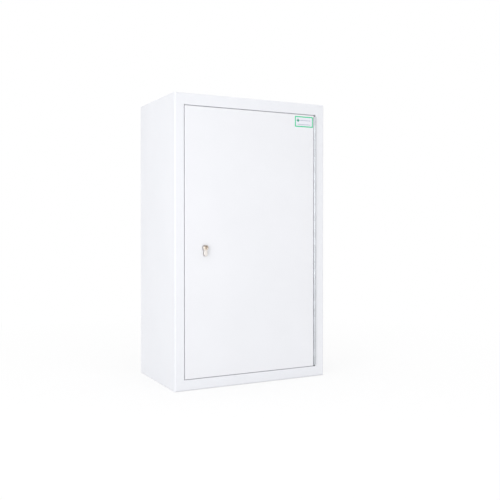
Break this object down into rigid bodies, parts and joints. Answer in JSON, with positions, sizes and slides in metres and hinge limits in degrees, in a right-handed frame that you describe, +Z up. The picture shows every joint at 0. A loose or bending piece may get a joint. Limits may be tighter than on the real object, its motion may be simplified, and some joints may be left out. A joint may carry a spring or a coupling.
{
  "type": "lockable medicine cabinet",
  "caption": "Folded steel wall cabinet with a flush hinged door, continuous knuckle hinge, half cylinder lock with sliding bolt and clip-in shelves.",
  "frame": {"origin": "centre of the cabinet's footprint at the underside of its base", "axes": "+Z up, -Y out of the front face, +X to the right as seen from the front"},
  "size_m": [0.5, 0.308, 0.85],
  "materials": {
    "body_paint": "satin white powder coat",
    "door_paint": "satin white powder coat",
    "shelf_paint": "satin white powder coat",
    "hinge_steel": "satin pale coat over rolled steel",
    "zinc_plate": "bright zinc plate",
    "spring_steel": "oiled hardened steel",
    "cylinder_nickel": "satin nickel plate",
    "plug_nickel": "satin nickel plate on brass",
    "buffer_rubber": "matt",
    "label_paper": "satin printed film"
  },
  "bodies": {
    "cabinet": {"side_left": "body_paint", "side_right": "body_paint", "top_panel": "body_paint", "bottom_panel": "body_paint", "back_panel": "body_paint", "keeper_plate": "zinc_plate", "upright_front_left": "body_paint", "upright_rear_left": "body_paint", "upright_front_right": "body_paint", "upright_rear_right": "body_paint", "shelf_lower": "shelf_paint", "shelf_middle": "shelf_paint", "shelf_upper": "shelf_paint", "shelf_clips_lower": "zinc_plate", "shelf_clips_middle": "zinc_plate", "shelf_clips_upper": "zinc_plate", "door_buffers": "buffer_rubber", "hinge_frame_leaf": "hinge_steel", "hinge_frame_rivets": "hinge_steel", "hinge_pin": "hinge_steel"},
    "door": {"door_skin": "door_paint", "door_liner": "door_paint", "door_stiffener": "zinc_plate", "door_label": "label_paper", "hinge_door_leaf": "hinge_steel", "hinge_door_rivets": "hinge_steel", "lock_case": "zinc_plate", "lock_cover": "zinc_plate", "lock_cover_screws": "zinc_plate", "lock_forend": "zinc_plate", "lock_forend_screws": "zinc_plate", "lock_detent_spring": "spring_steel", "cylinder_body": "cylinder_nickel", "cylinder_screw": "zinc_plate"},
    "plug": {"cylinder_plug": "plug_nickel", "cylinder_cam": "spring_steel"},
    "bolt": {"lock_bolt": "zinc_plate"}
  },
  "joints": [
    {"name": "door_swing", "type": "hinge", "parent": "cabinet", "child": "door", "pos_m": [0.217, -0.1505, 0.4235], "axis": [0, 0, 1], "range_deg": [0, 180]},
    {"name": "plug_turn", "type": "hinge", "parent": "door", "child": "plug", "pos_m": [-0.157, -0.128, 0.408], "axis": [0, -1, 0], "range_deg": [0, 360]},
    {"name": "bolt_throw", "type": "slide", "parent": "door", "child": "bolt", "axis": [-1, 0, 0], "range_m": [0, 0.014], "deforming": ["lock_detent_spring"]}
  ],
  "couplings": [
    {"joint": "plug_turn", "follows": "bolt_throw", "rad_per_m": 448.8}
  ]
}
